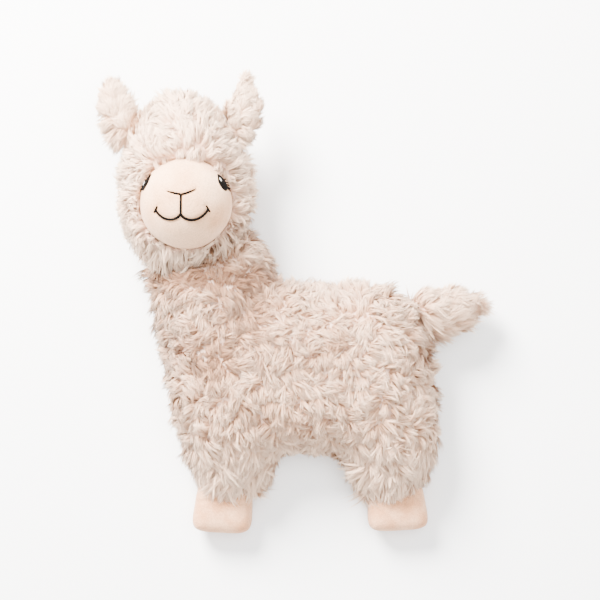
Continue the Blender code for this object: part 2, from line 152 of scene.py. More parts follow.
EAR_LEFT_TUFTS = (
    (-0.0970, 0.3770, 0.010, 0.0085),
    (-0.0985, 0.3930, 0.007, 0.0040),
    (-0.1020, 0.3560, 0.010, 0.0060),
    (-0.0880, 0.3420, 0.011, 0.0060),
)
CUFFS = (
    (0.1622, 0.0440, 0.016, 0.0110),
)
# How near a neighbouring solid may lie over the cloth before no pile grows under it.
COVER_REACH = 0.0035
COVER_REACHES = {
    "face": 0.0010,
    "head": 0.0020,
    "body": 0.0015,
    "hoof_front": 0.009,
    "hoof_hind": 0.009,
}
# The rim of the head's pile and cloth round the face.
RIM_WIDTH = 0.011
RIM_REACH = 0.20
RIM_GAP = 0.015
RIM_INSIDE = 0.9
RIM_HEIGHT = 0.055

# Heights along Y and places along X at which the body's pile changes.
LEG_TOP = 0.100
LEG_ANKLE = 0.055
LEG_SPLIT = 0.0735
LEG_MIDDLES = (-0.0015, 0.1445)
LEG_FAN = 14
HOCK_HEIGHT = 0.115
CROWN_ABOVE_FACE = 0.02
NECK_FOOT = 0.2
BARREL_MIDDLE = 0.071
BELLY = ((0.012, 0.132), (0.065, 0.140))
BODY_SWIRL = (0.011, 0.85)
BODY_STRAY = 0.72
HEAD_SWIRL = (0.010, 0.55)
HEAD_STRAY = 0.30
LIMB_STRAY = 0.22
PARTED_FLATTER = 0.30
PARTED_SHORTER = 0.15
SHORTEST_REACH = 0.003
# Each of these fades in from its first place to its second.
ANKLE_FADE = (0.060, 0.045)
CHEST_FADE = (0.065, 0.025)
CHEST_FOOT_FADE = (0.12, 0.15)
BACK_FADE = (0.11, 0.15)
CHIN_FADE = (0.262, 0.240)
CROWN_FADE = (0.325, 0.355)
RUFF_HEM = 0.245
RUFF_HEM_WIDTH = 0.014
# What each region adds to the pile's reach, its rise, its tint and the tone of its roots.
BODY_PILE = {
    "reach": {"all": 0.0112, "low": 0.0045, "side": -0.0030},
    "rise": {"all": 0.0070, "edge": 0.0030, "low": -0.0010, "belly": -0.0040},
    "tint": {
        "all": 0.25,
        "low": 1.2,
        # Darker where tousled, and at the parting as painted shadow of the ruff.
        "ruffled_and_shaded": -1.5,
        "chest": -0.8,
        "back": 0.3,
        "under_ruff": 1.2,
    },
    "root": {"low": 0.50, "under_ruff": 0.40},
}
ANKLE_REACH = 0.004
UNDER_RUFF_RISE = 0.004
HEAD_PILE = {
    "reach": {"all": 0.0115, "ruff": 0.0080, "edge": -0.0020, "rim": -0.0055, "low_rim": -0.0060},
    "rise": {"all": 0.0072, "chin": 0.0065, "rim": 0.0030, "high": -0.0015, "ruff": -0.0015},
    # The head's pile is tinted lighter than the body's, as painted light on the top of the toy. The
    # ruff is lighter still, partly from its own paler pile and partly from painted light in the shade
    # under the chin.
    "tint": {"all": 1.1, "low": 1.2},
    "root": {"all": 0.48, "low": 0.44},
}
# Each ear's and the tail's middle line, its pile, and the ways that its tip and its root hang.
LIMBS = {
    "ear_left": {
        "root": (-0.0683, 0.3428, 0.056),
        "tip": (-0.0973, 0.3970, 0.056),
        "reach": 0.0112,
        "rise": 0.0052,
        "spread": 0.8,
        # Tinted lighter than the body's pile, as painted light on the top of the toy.
        "tint": 1.2,
        "root_tone": 0.42,
        "end": (-0.15, 1.0, 0.0),
        "droop": (-0.30, -1.0, 0.0),
        "tufts": EAR_LEFT_TUFTS,
    },
    "ear_right": {
        "root": (0.0027, 0.3418, 0.056),
        "tip": (0.0197, 0.3965, 0.056),
        "reach": 0.0090,
        "rise": 0.0040,
        "spread": 0.6,
        # Tinted lighter than the body's pile, as painted light on the top of the toy.
        "tint": 1.4,
        "root_tone": 0.50,
        "end": (0.45, 0.9, 0.0),
        "droop": (0.15, -0.3, 0.0),
    },
    "tail": {
        "root": (0.1537, 0.1898, 0.029),
        "tip": (0.2197, 0.2058, 0.029),
        "reach": 0.0150,
        "rise": 0.0050,
        "spread": 0.4,
        "tint": 0.6,
        "root_tone": 0.15,
        "end": (1.0, 0.0, 0.0),
        "droop": (0.0, 0.0, 0.0),
    },
}
DROOP_RISE = 0.009

HOOF_SIZE = (0.0510, 0.0460, 0.0300)
HOOF_SQUARENESS = 4.5
HOOF_NET = 57
HOOF_PUCKER = 0.035
HOOF_CREASE = 0.07
HOOF_LUMP = 0.03
# Each hoof's turn, its shift in X, its lean towards the sole and its flare.
HOOVES = {
    "hoof_front": (math.radians(-3), 0.0, -0.04, 0.06),
    "hoof_hind": (math.radians(3), -0.0025, 0.03, 0.09),
}

# The face, and the places of its stitches from its middle.
FACE_NET = (101, 168)
FACE_UNEVEN = 0.00025
STITCH_PULL = 0.0007
STITCH_REACH = 0.0016
STITCH_STEP = 0.00025
STITCH_LENGTH = 0.0024
THREAD_FLAT = 0.8
THREAD_END = 0.35
THREAD_TIP = 0.05
NOSE_FORK = (-0.0013, 0.0052)
NOSE_LEFT_END = (-0.0134, 0.0082)
NOSE_RIGHT_END = (0.0110, 0.0100)
LIP_MIDDLE = (-0.0016, -0.0106)
MOUTH_LEFT_END = (-0.0226, -0.0067)
MOUTH_RIGHT_END = (0.0204, -0.0062)
TICK_LENGTH = 0.0060
TICK_TURN = math.radians(60)

EYE_LENGTH = 0.0162
EYE_PUFF = 0.0009
EYE_RISE = math.radians(26.5)
EYE_LIFT = 0.0002
LEAF_NET = (40, 22)
LEAF_POINT = 0.45
LEAF_BACK = 0.0002
RIDGE_HEIGHT = 0.00005
RIDGE_PITCH = 0.00065
# Each eye's place round the face, its lean and its width.
EYES = {
    "left": (math.radians(-67), math.radians(-2), 0.0110),
    "right": (math.radians(65), math.radians(6), 0.0148),
}
GLINT_LENGTH = 0.0044
GLINT_WIDTH = 0.0030
GLINT_PUFF = 0.0002
GLINT_LIFT = 0.0009
GLINT_SHIFTS = {"left": (-0.0038, -0.0012), "right": (-0.0030, 0.0020)}
# Each lash's height on the eye, how far it stands out and how far it falls.
LASHES = (
    (0.0018, 0.0022, 0.0002),
    (-0.0005, 0.0032, 0.0012),
    (-0.0026, 0.0036, 0.0020),
    (-0.0044, 0.0022, 0.0030),
    (-0.0060, 0.0002, 0.0032),
)
LASH_ROOT = 0.0020
LASH_RADIUS = 0.00085
LASH_LIFT = 0.0004
LASH_RISE = 0.0012
LASH_TIP = 0.1

SHEEN_COLOUR = (1.0, 0.95, 0.9)
SHEEN_ROUGHNESS = 0.5
BUMP_HEIGHT = 0.0005
# The pile's colour from root to tip, and the tints that it is multiplied by.
PILE_COLOURS = (
    (0.0, (0.33, 0.165, 0.09)),
    (0.30, (0.46, 0.26, 0.155)),
    (0.60, (0.62, 0.40, 0.27)),
    (1.0, (0.83, 0.635, 0.475)),
)
TINT_COLOURS = (
    (0.0, (0.57, 0.53, 0.52)),
    (0.5, (0.90, 0.87, 0.85)),
    (1.0, (1.0, 1.0, 1.0)),
)

CAMERA_PLACE = (0.0639, 0.2026, 1.44)
CAMERA_LENS = 97.1
LIGHT_TARGET = (0, 0, 0.04)
SKY_COLOUR = (1.0, 0.97, 0.94)
SKY_STRENGTH = 1.9


def unit(v):
    """Vectors brought to length 1."""
    return v / np.maximum(np.linalg.norm(v, axis=-1, keepdims=True), 1e-9)


def mesh_points(mesh):
    """A mesh's points as an array."""
    found = np.empty(len(mesh.vertices) * 3, np.float32)
    mesh.vertices.foreach_get("co", found)
    return found.reshape(-1, 3).astype(float)


def mesh_normals(mesh):
    """The outward directions at a mesh's points."""
    found = np.empty(len(mesh.vertices) * 3, np.float32)
    mesh.vertices.foreach_get("normal", found)
    return found.reshape(-1, 3).astype(float)


def move_points(mesh, points):
    """Give a mesh's points new places."""
    mesh.vertices.foreach_set("co", points.astype(np.float32).ravel())
    mesh.update()


def finished(made):
    """The object's mesh with its modifiers applied."""
    seen = made.evaluated_get(bpy.context.evaluated_depsgraph_get())
    return bpy.data.meshes.new_from_object(seen)


def linked(name, mesh):
    """A new object with the mesh, put into the scene."""
    made = bpy.data.objects.new(name, mesh)
    bpy.context.scene.collection.objects.link(made)
    return made


def piece(name, mesh, finish, nodes=()):
    """A finished piece that rides with the toy's one body and stands for the named solids."""
    made = linked(name, mesh)
    mesh.materials.clear()
    mesh.materials.append(finish)
    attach(made, "root")
    if nodes:
        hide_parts(*nodes)
    return made


def merged_copy(node):
    """A copy of a solid's mesh with its loose triangles joined."""
    whole = bmesh.new()
    whole.from_mesh(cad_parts[node].data)
    bmesh.ops.remove_doubles(whole, verts=whole.verts, dist=WELD)
    mesh = bpy.data.meshes.new(node + "_copy")
    whole.to_mesh(mesh)
    whole.free()
    return mesh


def swelled(mesh):
    """The mesh after its cloth is blown up by the stuffing, no point moved further than the cap."""
    before = mesh_points(mesh)
    made = linked("swelling", mesh)
    cloth = made.modifiers.new("stuffing", "CLOTH")
    cloth.settings.quality = CLOTH_QUALITY
    cloth.settings.use_pressure = True
    cloth.settings.uniform_pressure_force = CLOTH_PRESSURE
    cloth.settings.effector_weights.gravity = 0.0
    for step in range(1, CLOTH_FRAMES + 1):
        bpy.context.scene.frame_set(step)
    blown = finished(made)
    moved = mesh_points(blown) - before
    far = np.linalg.norm(moved, axis=1, keepdims=True)
    move_points(mesh, before + moved * np.minimum(1.0, CLOTH_CAP / np.maximum(far, 1e-9)))
    bpy.data.objects.remove(made)
    bpy.context.scene.frame_set(1)
    return mesh


def drawn_to_face(points):
    """Points near the muzzle's ball drawn up to it, as the seam round the face holds them.

    With r the distance from its middle in half sizes, r goes to 1 + RIM_GAP at the ball and is left
    as it is from 1 + RIM_REACH out. In between the hold fades by the square of the way left.
    """
    away = points - FACE_CENTRE
    r = np.linalg.norm(away / FACE_HALF, axis=1)
    share = np.clip((r - 1.0) / RIM_REACH, 0, 1)
    held = (1 + RIM_GAP) * (1 - share) ** 2 + r * (1 - (1 - share) ** 2)
    near = (r < 1 + RIM_REACH) & (r > RIM_INSIDE)
    return np.where(near[:, None], FACE_CENTRE + away * (held / r)[:, None], points)


def stuffed_cloth(node, net):
    """The plush's backing: the solid drawn over with an even net, smoothed, sunk and swelled."""
    made = linked("backing", merged_copy(node))
    even = made.modifiers.new("even_net", "REMESH")
    even.mode = "VOXEL"
    even.voxel_size = net
    smooth = made.modifiers.new("smooth", "SMOOTH")
    smooth.factor = SMOOTH_STRENGTH
    smooth.iterations = SMOOTH_PASSES
    mesh = finished(made)
    bpy.data.objects.remove(made)
    points = mesh_points(mesh) - CLOTH_SINK * mesh_normals(mesh)
    points[:, 2] = np.maximum(points[:, 2], CLOTH_LOWEST)
    move_points(mesh, points)
    mesh = swelled(mesh)
    if node == "head":
        move_points(mesh, drawn_to_face(mesh_points(mesh)))
    made = linked("smoothed", mesh)
    made.modifiers.new("finer_net", "SUBSURF").levels = 1
    mesh = finished(made)
    bpy.data.objects.remove(made)
    mesh.name = node + "_cloth"
    mesh.shade_smooth()
    return mesh


def triangles_of(mesh):
    """The corner numbers of a mesh's triangles."""
    mesh.calc_loop_triangles()
    corners = np.empty(len(mesh.loop_triangles) * 3, np.int32)
    mesh.loop_triangles.foreach_get("vertices", corners)
    return corners.reshape(-1, 3)


def covered(points, normals, others):
    """True where another solid lies within its reach, straight out from the point."""
    trees = []
    for node in others:
        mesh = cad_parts[node].data
        spots = [tuple(p) for p in mesh_points(mesh)]
        tree = BVHTree.FromPolygons(spots, [tuple(t) for t in triangles_of(mesh)])
        trees.append((tree, COVER_REACHES.get(node, COVER_REACH)))
    return np.array(
        [
            any(tree.ray_cast(Vector(p), Vector(n), reach)[0] is not None for tree, reach in trees)
            for p, n in zip(points, normals, strict=True)
        ]
    )


def sown(mesh, count, others, rng):
    """Root places and their outward directions, spread evenly over the cloth by area.

    A triangle gets roots by its area, fewer where it faces down and none where a neighbour
    covers it. A root's place in its triangle is the corners weighted by 1-a, a(1-b) and ab, with a
    the square root of one random number and b another.
    """
    points, normals, corners = mesh_points(mesh), mesh_normals(mesh), triangles_of(mesh)
    spots, facing = points[corners], normals[corners]
    middle, outward = spots.mean(1), unit(facing.mean(1))
    area = np.linalg.norm(np.cross(spots[:, 1] - spots[:, 0], spots[:, 2] - spots[:, 0]), axis=1)
    share = np.where(outward[:, 2] < UNDERSIDE, UNDERSIDE_SHARE, 1.0)
    share[covered(middle, outward, others)] = 0.0
    heap = np.cumsum(area * share)
    chosen = np.searchsorted(heap, (np.arange(count) + rng.random(count)) / count * heap[-1])
    a = np.sqrt(rng.random(count))
    b = rng.random(count)
    weights = np.stack([1 - a, a * (1 - b), a * b], axis=1)[:, :, None]
    return (spots[chosen] * weights).sum(1), unit((facing[chosen] * weights).sum(1))


def lock_centres(points, spacing, rng):
    """Numbers of points picked so that no two lie nearer than the spacing."""
    free = np.ones(len(points), bool)
    picked = []
    for i in rng.permutation(len(points)):
        if free[i]:
            picked.append(i)
            near = ((points - points[i]) ** 2).sum(1) < spacing**2
            free[near] = False
    return np.array(picked)


def nearest(points, centres):
    """The number of the nearest centre to each point, worked out a batch at a time."""
    found = np.empty(len(points), int)
    squares = (centres**2).sum(1)
    for start in range(0, len(points), BATCH):
        part = points[start : start + BATCH]
        found[start : start + BATCH] = (squares - 2 * part @ centres.T).argmin(1)
    return found


def fade(values, start, end):
    """How far each value has come from start to end, from 0 to 1."""
    return np.clip((values - start) / (end - start), 0, 1)


def summed(weights, regions):
    """Each region's weight times how far a point is in that region, summed."""
    return sum(weight * regions[name] for name, weight in weights.items())


def swirl(points, turn_length, strength):
    """An angle that wanders over the toy.

    With x, y and z in turn lengths, it is the strength times sin(x + 1.9 sin(0.8y + 0.6z + 1)) +
    0.6 sin(1.7y - 0.9x + 2 sin(0.7x)).
    """
    x, y, z = points.T / turn_length
    bend = 1.9 * np.sin(0.8 * y + 0.6 * z + 1.0)
    return strength * (np.sin(x + bend) + 0.6 * np.sin(1.7 * y - 0.9 * x + 2.0 * np.sin(0.7 * x)))


def turned(along, facing, angle):
    """A direction turned about the outward one: cos(angle) of it and sin(angle) of its side."""
    side = np.cross(facing, along)
    return along * np.cos(angle)[:, None] + side * np.sin(angle)[:, None]


def flattened(along, facing):
    """A direction laid into the surface."""
    return unit(along - (along * facing).sum(1)[:, None] * facing)


def soft_spots(points, spots):
    """The sum over the spots of strength times exp(-(d / r)^2), d away from a spot of radius r."""
    x, y, _ = (points - ZERO).T
    bumps = [much * np.exp(-((x - a) ** 2 + (y - b) ** 2) / r**2) for a, b, r, much in spots]
    return np.sum(bumps, axis=0) if bumps else np.zeros(len(points))


def ruffled_and_shaded(points):
    """How far the pile is tousled so that its darker roots show, at some spots and at the parting
    under the ruff, where the darkening is also painted shadow of the ruff.
    """
    away = ((points - ZERO)[:, :2] - SHADED_PARTING) / SHADED_PARTING_SIZE
    band = np.exp(-(away**2).sum(1))
    return (SHADED_PARTING_STRENGTH * band + soft_spots(points, RUFFLED)) * (points[:, 2] > RUFFLED_AND_SHADED_HEIGHT)


def body_comb(points, facing, rng):
    """Down the toy and outwards at the sides, in swirls; fanned and longer towards the hooves.

    A comb gives, for each lock, the way it lies, its reach along the surface, its rise from it, its
    tint and the tone of its roots. Here low is 1 from the ankle down, edge is 1 at the toy's outline
    and side is what of edge lies above the legs.
    """
    x, y, _ = (points - ZERO).T
    low = fade(y, LEG_TOP, LEG_ANKLE)
    leg = np.where(x < LEG_SPLIT, *LEG_MIDDLES)
    edge = 1 - np.abs(facing[:, 2])
    (left, right), (bottom, top) = BELLY
    inside = (x > left) * (x < right) * (y > bottom) * (y < top)
    front = np.clip(facing[:, 2], 0, 1)
    along = np.stack(
        [
            facing[:, 0] * (1 - 0.3 * low) + low * (x - leg) * LEG_FAN,
            -0.50 + 0.9 * facing[:, 1] - 0.8 * low,
            np.full(len(x), -0.1),
        ],
        axis=1,
    )
    angle = swirl(points, *BODY_SWIRL) * (1 - 0.75 * low) * (1 - 0.5 * edge)
    angle += rng.normal(0, BODY_STRAY, len(x)) * (1 - 0.55 * low) * (1 - 0.35 * edge)
    along = turned(flattened(along, facing), facing, angle)
    regions = {
        "all": 1.0,
        "low": low,
        "edge": edge,
        "side": edge * (1 - low),
        "belly": np.clip(-facing[:, 1], 0, 1) * inside,
        "ruffled_and_shaded": ruffled_and_shaded(points),
        "chest": fade(x, *CHEST_FADE) * fade(y, *CHEST_FOOT_FADE),
        "back": fade(x, *BACK_FADE),
        "under_ruff": front * np.exp(-(((y - RUFF_HEM) / RUFF_HEM_WIDTH) ** 2)),
    }
    parted = np.clip(regions["ruffled_and_shaded"], 0, 1)
    rise = summed(BODY_PILE["rise"], regions) * (1 - PARTED_FLATTER * parted)
    rise = rise + soft_spots(points, BODY_TUFTS) * edge + UNDER_RUFF_RISE * regions["under_ruff"]
    reach = summed(BODY_PILE["reach"], regions) * (1 - PARTED_SHORTER * parted)
    reach = reach + ANKLE_REACH * fade(y, *ANKLE_FADE) - soft_spots(points, CUFFS)
    reach = np.maximum(reach, SHORTEST_REACH)
    tint, root = summed(BODY_PILE["tint"], regions), summed(BODY_PILE["root"], regions)
    return along, reach, rise, tint, root


def head_comb(points, facing, rng):
    """Outwards all round the face, curlier on the crown, and hanging in a ruff over the neck.

    Next to the face the pile stands up and tips in over its edge, and by RIM_WIDTH out it has turned
    to lie outwards. Here low is 1 in the ruff, high is 1 on the crown and rim is 1 at the face's edge.
    """
    away = (points - FACE_CENTRE)[:, :2]
    out = unit(away)
    beyond = (np.linalg.norm(away / FACE_HALF[:2], axis=1) - 1.0) * FACE_RADIUS
    rim = np.clip(1.0 - beyond / RIM_WIDTH, 0, 1) * (points[:, 2] > RIM_HEIGHT)
    height = (points - ZERO)[:, 1]
    low = fade(height, *CHIN_FADE)
    high = fade(height, *CROWN_FADE)
    brow = np.clip(out[:, 1] * 1.6, 0, 1)
    inward = rim * (1.0 + 0.5 * brow) * (1 - 0.5 * out[:, 0] ** 2)
    along = np.stack(
        [
            out[:, 0] * (1 - 0.5 * low - 1.5 * inward),
            out[:, 1] * (1 - 1.5 * inward) - (0.20 + 0.6 * low) * (1 - rim),
            -0.20 * (1 - rim),
        ],
        axis=1,
    )
    angle = swirl(points, *HEAD_SWIRL) * (0.5 + 0.8 * high) * (1 - 0.6 * low)
    angle = (angle + rng.normal(0, HEAD_STRAY, len(low))) * (1 - 0.5 * rim)
    along = turned(flattened(along, facing), facing, angle)
    edge = 1 - np.abs(facing[:, 2])
    regions = {
        "all": 1.0,
        "low": low,
        "high": high,
        "edge": edge,
        "rim": rim,
        "low_rim": low * rim,
        "ruff": low * np.clip(1.4 * facing[:, 2], 0, 1),
        "chin": low * np.clip(-1.5 * facing[:, 1], 0, 1),
    }
    reach = summed(HEAD_PILE["reach"], regions)
    rise = summed(HEAD_PILE["rise"], regions) + soft_spots(points, HEAD_TUFTS) * edge
    tint, root = summed(HEAD_PILE["tint"], regions), summed(HEAD_PILE["root"], regions)
    return along, reach, rise, tint, root


def limb_comb(root, tip, reach, rise, spread, tint, root_tone, end, droop, tufts=()):
    """A comb that runs from a limb's root to its tip, both measured from ZERO.

    With s the share of the way from root to tip, the pile fans out from the root by spread times
    1 - 0.8s^2, and is drawn in towards the middle line by s^2, to a point that turns the way of end,
    where it lies flat by 1 - 0.85s^2. Near the root, where it faces the way of droop, it hangs
    that way. At the tufts it stands out and turns outwards.
    """
    root, tip = ZERO + root, ZERO + tip
    end, droop = np.array(end), np.array(droop)
    flat = np.array([1.0, 1.0, 0.0])

    def comb(points, facing, rng):
        way = tip - root
        axis = unit(way)
        s = np.clip((points - root) @ axis / np.linalg.norm(way), 0, 1)
        fan = unit((points - root) * (1.0, 1.0, 0.3))
        low = np.clip(1.25 - 2.4 * s, 0, 1) * np.clip(1.5 * facing @ unit(droop), 0, 1)
        beside = points - root - np.outer((points - root) @ axis, axis)
        wide = (spread * (1 - 0.8 * s**2))[:, None]
        along = axis * (1 - wide) + wide * fan + 0.5 * facing * flat * (1 - s[:, None])
        along = along + 2.0 * low[:, None] * droop + (1.4 * s**3)[:, None] * end
        along = along - (s**2)[:, None] * beside / 0.008
        fuller = soft_spots(points, tufts)
        along = along + (fuller / 0.003)[:, None] * facing * flat
        angle = rng.normal(0, LIMB_STRAY, len(points))
        along = turned(flattened(along, facing), facing, angle)
        edge = 1 - np.abs(facing[:, 2])
        reaches = reach * (1 + 0.45 * s**2 * (1 - edge) - 0.55 * edge * s)
        rises = rise * (1 + 0.4 * edge) * (1 - 0.85 * s**2) + fuller * edge
        rises = rises + DROOP_RISE * low * np.linalg.norm(droop)
        return along, reaches, rises, np.full(len(s), tint), np.full(len(s), root_tone)

    return comb


def strand_points(wisps, facing, comb, rng):
    """The middle lines of the pile's strands: wisps of a few strands, combed together in locks.

    A wisp grows from its middle along reach(t) = 0.25t + 0.75t^2 of its length, and of its height
    along rise(t) = 2.3t - 1.7t^2 on the front, where it lies over, and 1.2t - 0.15t^2 at the toy's
    edge, where it stands out. It is bent sideways by its curl times t^2. Locks share one comb
    direction, and draw their wisps in by LOCK_GATHER times t^1.3. A strand starts beside its wisp's
    middle, and is drawn in to it by WISP_GATHER times t.
    """
    picked = lock_centres(wisps, LOCK_SIZE, rng)
    centres, lift = wisps[picked], facing[picked]
    along, reach, rise, lighter, root_tone = comb(centres, lift, rng)
    own = nearest(wisps, centres)
    locks, count = len(centres), len(wisps)
    reach = (reach * rng.uniform(*LOCK_REACHES, locks))[own] * rng.uniform(*WISP_REACHES, count)
    rise = (rise * rng.uniform(*LOCK_RISES, locks))[own] * rng.uniform(*WISP_RISES, count)
    curl = rng.normal(0, LOCK_CURL, locks)[own] + rng.normal(0, WISP_CURL, count)
    t = STRAND_STOPS[None, :, None]
    offset = wisps - centres[own]
    up = unit(facing + 0.6 * lift[own])
    comb_way = turned(flattened(along[own], up), up, rng.normal(0, WISP_STRAY, count))
    side = np.cross(up, comb_way)
    edge = (1 - np.abs(facing[:, 2]))[:, None, None]
    lifted = (2.3 * t - 1.7 * t**2) * (1 - edge) + (1.2 * t - 0.15 * t**2) * edge
    line = rise[:, None, None] * lifted * up[:, None]
    line = line + reach[:, None, None] * (0.25 * t + 0.75 * t**2) * comb_way[:, None]
    line = line + curl[:, None, None] * t**2 * side[:, None]
    axis = wisps[:, None] + line - offset[:, None] * LOCK_GATHER * t**1.3
    angle = rng.uniform(0, 2 * np.pi, (count, PER_WISP))
    far = WISP_SIZE * np.sqrt(rng.random((count, PER_WISP)))
    beside = far[..., None] * (
        np.cos(angle)[..., None] * comb_way[:, None] + np.sin(angle)[..., None] * side[:, None]
    )
    size = rng.uniform(*STRAND_SIZES, (count, PER_WISP, 1, 1))
    points = axis[:, None] + (size - 1) * line[:, None]
    points = points + beside[:, :, None] * (1 - WISP_GATHER * t[None])
    points = points + rng.normal(0, STRAND_STRAY, (count, PER_WISP, 1, 3)) * t[None]
    lock_out = unit(offset + 1e-7 * up)
    shade = up[:, None, None] + 0.30 * unit(beside)[:, :, None]
    shade = shade + 0.3 * t[None] * comb_way[:, None, None]
    shade = unit(shade + 0.45 * lock_out[:, None, None])
    stops = len(STRAND_STOPS)
    points = points.reshape(-1, stops, 3)
    points[:, :, 2] = np.maximum(points[:, :, 2], STRAND_LOWEST)
    tint = (lighter + LOCK_TINT * rng.normal(0, 1, locks))[own]
    tint = tint + WISP_TINT * rng.normal(0, 1, count)
    tint = tint - DRIFT_TINT * np.clip(swirl(wisps, DRIFT_LENGTH, 1.0), 0, 1)
    # Roots lighter round the toy's outline, as painted light.
    start = 1 - (1 - root_tone[own]) * (1 - EDGE_PAINTED_LIGHT * edge.ravel())
    # Tips darker where the pile is tousled, and at the parting under the ruff as painted shadow.
    tones = np.stack([start, 1 - RUFFLED_AND_SHADED_TONE * np.clip(ruffled_and_shaded(wisps), 0, RUFFLED_AND_SHADED_MOST)], axis=1)
    each = np.repeat(np.arange(count), PER_WISP)
    shade = shade.reshape(-1, stops, 3)
    return points, up[each], side[each], shade, tint[each], tones[each], wisps[each]


def pile_mesh(name, points, up, side, shade, lock_tint, tones, rng):
    """Flat tapered ribbons along the strands, each of two quads and a pointed end.

    A ribbon's width runs across its line and the outward direction, rolled by a random angle. Its
    UV is the strand's tint across and its tone upwards, from its first at the root to its last at
    the tip.
    """
    count, stops = points.shape[:2]
    heading = unit(np.gradient(points, axis=1))
    outward = unit(up[:, None] + 0.6 * shade)
    across = unit(np.cross(heading, outward) + 0.2 * side[:, None])
    roll = rng.uniform(-STRAND_ROLL, STRAND_ROLL, (count, 1, 1))
    across = across * np.cos(roll) + np.cross(heading, across) * np.sin(roll)
    wide = across[:, :-1] * STRAND_HALF_WIDTHS[None, :, None]
    wide = wide * rng.uniform(*STRAND_WIDTHS, (count, 1, 1))
    left = points[:, :-1] - wide
    right = points[:, :-1] + wide
    sides = np.stack([left, right], axis=2).reshape(count, -1, 3)
    spots = np.concatenate([sides, points[:, -1:]], axis=1)
    per = spots.shape[1]
    base = np.arange(count)[:, None] * per
    last = 2 * (stops - 1) - 2
    quads = np.array([[k, k + 1, k + 3, k + 2] for k in range(0, last, 2)]).ravel()
    local = np.concatenate([quads, [last, last + 1, per - 1]])
    loops = (base + local[None]).ravel().astype(np.int32)
    faces_each = stops - 1
    totals = np.array([4] * (stops - 2) + [3])
    starts = np.concatenate([[0], np.cumsum(totals)[:-1]])
    starts = (np.arange(count)[:, None] * len(local) + starts[None]).ravel().astype(np.int32)
    mesh = bpy.data.meshes.new(name)
    mesh.vertices.add(count * per)
    mesh.vertices.foreach_set("co", spots.astype(np.float32).ravel())
    mesh.loops.add(len(loops))
    mesh.loops.foreach_set("vertex_index", loops)
    mesh.polygons.add(count * faces_each)
    mesh.polygons.foreach_set("loop_start", starts)
    mesh.update(calc_edges=True)
    tint = 0.5 + TINT_STEP * lock_tint + rng.normal(0, STRAND_TINT, count)
    tint = np.clip(tint, 0.0, 0.999)
    column = (np.floor(tint * TINTS) + 0.5) / TINTS
    heights = np.append(np.repeat(STRAND_STOPS[:-1], 2), 1.0)
    first, last_tone = tones[:, :1], tones[:, 1:]
    tone = (first + (last_tone - first) * heights).ravel() * (1 - 2 * TONE_MARGIN) + TONE_MARGIN
    sheet = np.stack([np.repeat(column, per), tone], axis=1)
    layer = mesh.uv_layers.new(name="OFBake")
    layer.data.foreach_set("uv", sheet[loops].astype(np.float32).ravel())
    mesh.shade_smooth()
    bend = np.concatenate([np.repeat(shade[:, :-1], 2, axis=1), shade[:, -1:]], axis=1)
    mesh.normals_split_custom_set_from_vertices(bend.reshape(-1, 3).astype(np.float32))
    return mesh


def add_shader(name, roughness, gloss, sheen):
    """A new material and its main shader, its plain values set on the shader itself."""
    made = bpy.data.materials.new(name)
    made.use_nodes = True
    shader = made.node_tree.nodes["Principled BSDF"]
    shader.inputs["Roughness"].default_value = roughness
    shader.inputs["Specular IOR Level"].default_value = gloss
    shader.inputs["Sheen Weight"].default_value = sheen
    shader.inputs["Sheen Roughness"].default_value = SHEEN_ROUGHNESS
    shader.inputs["Sheen Tint"].default_value = (*SHEEN_COLOUR, 1.0)
    return made, shader


def ramp(nodes, stops):
    """A colour ramp through (place, colour) stops."""
    made = nodes.new("ShaderNodeValToRGB")
    made.color_ramp.elements.remove(made.color_ramp.elements[0])
    made.color_ramp.elements[0].position = stops[0][0]
    made.color_ramp.elements[0].color = (*stops[0][1], 1.0)
    for place, colour in stops[1:]:
        made.color_ramp.elements.new(place).color = (*colour, 1.0)
    return made


def multiplied(nodes, links, first, second):
    """The output of two colours multiplied."""
    both = nodes.new("ShaderNodeMix")
    both.data_type = "RGBA"
    both.blend_type = "MULTIPLY"
    both.inputs[0].default_value = 1.0
    links.new(first, both.inputs[6])
    links.new(second, both.inputs[7])
    return both.outputs[2]


def shaggy_pile():
    """Long pile: warm and dark at the root, cream at the tip, each strand a little off the next."""
    made, shader = add_shader("shaggy_pile", roughness=0.85, gloss=0.25, sheen=0.08)
    nodes, links = made.node_tree.nodes, made.node_tree.links
    place = nodes.new("ShaderNodeUVMap")
    place.uv_map = "OFBake"
    split = nodes.new("ShaderNodeSeparateXYZ")
    links.new(place.outputs["UV"], split.inputs[0])
    length, tint = ramp(nodes, PILE_COLOURS), ramp(nodes, TINT_COLOURS)
    links.new(split.outputs["Y"], length.inputs[0])
    links.new(split.outputs["X"], tint.inputs[0])
    colour = multiplied(nodes, links, length.outputs["Color"], tint.outputs["Color"])
    links.new(colour, shader.inputs["Base Color"])
    return made


